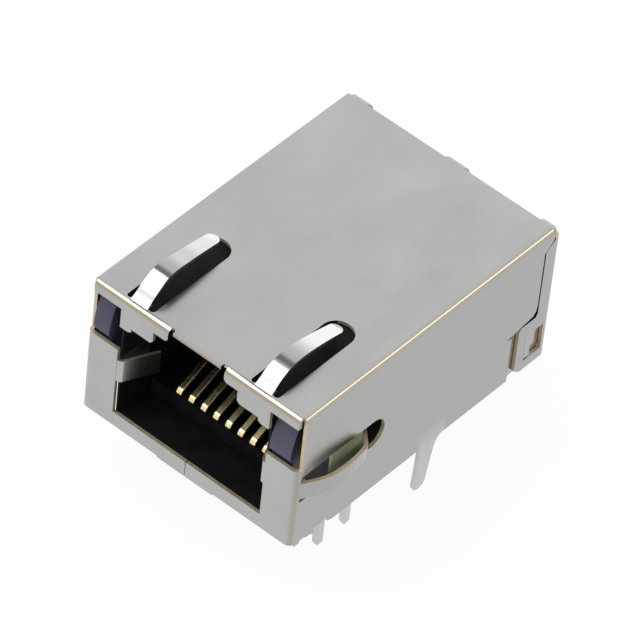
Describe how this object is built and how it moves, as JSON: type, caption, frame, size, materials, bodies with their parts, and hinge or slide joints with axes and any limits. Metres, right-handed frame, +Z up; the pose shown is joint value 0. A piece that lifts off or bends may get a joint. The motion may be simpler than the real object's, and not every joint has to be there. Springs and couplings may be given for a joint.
{
  "type": "rj45 board jack",
  "caption": "Shielded right-angle modular jack for a circuit board, latch side up, with indicator lights, gold contacts, spring fingers and solder legs.",
  "frame": {"origin": "midpoint of the two locating posts, on the board plane", "axes": "+X to the right seen from the plug side, +Y from the port to the back plate, +Z up from the board"},
  "size_m": [0.0194, 0.0246, 0.017],
  "materials": {
    "nickel_sheet": "satin nickel plate over brass sheet",
    "black_body": "fine moulded texture",
    "black_insert": "fine moulded texture",
    "gold_contact": "gold plate, polished",
    "violet_lens": "smoked translucent plastic",
    "clear_light": "tinted clear plastic",
    "green_light": "tinted clear plastic",
    "tinned_lead": "bright tin",
    "tinned_pin": "bright tin",
    "board_laminate": "solder mask",
    "ferrite": "fired, dull",
    "enamel_wire": "enamelled copper",
    "resistor_ceramic": "glazed",
    "capacitor_ceramic": "fired"
  },
  "bodies": {
    "root": {"shield": "nickel_sheet", "housing": "black_body", "contact_insert": "black_insert", "contact_1": "gold_contact", "contact_2": "gold_contact", "contact_3": "gold_contact", "contact_4": "gold_contact", "contact_5": "gold_contact", "contact_6": "gold_contact", "contact_7": "gold_contact", "contact_8": "gold_contact", "led_lens_left": "violet_lens", "led_lens_right": "violet_lens", "led_body_left": "clear_light", "led_body_right": "green_light", "led_lead_left_front": "tinned_lead", "led_lead_left_rear": "tinned_lead", "led_lead_right_front": "tinned_lead", "led_lead_right_rear": "tinned_lead", "signal_pin_1": "tinned_pin", "signal_pin_2": "tinned_pin", "signal_pin_3": "tinned_pin", "signal_pin_4": "tinned_pin", "signal_pin_5": "tinned_pin", "signal_pin_6": "tinned_pin", "signal_pin_7": "tinned_pin", "signal_pin_8": "tinned_pin", "module_board": "board_laminate", "choke_core_1": "ferrite", "choke_core_2": "ferrite", "choke_core_3": "ferrite", "choke_core_4": "ferrite", "choke_winding_1": "enamel_wire", "choke_winding_2": "enamel_wire", "choke_winding_3": "enamel_wire", "choke_winding_4": "enamel_wire", "line_resistors": "resistor_ceramic", "surge_capacitor": "capacitor_ceramic"}
  },
  "joints": []
}
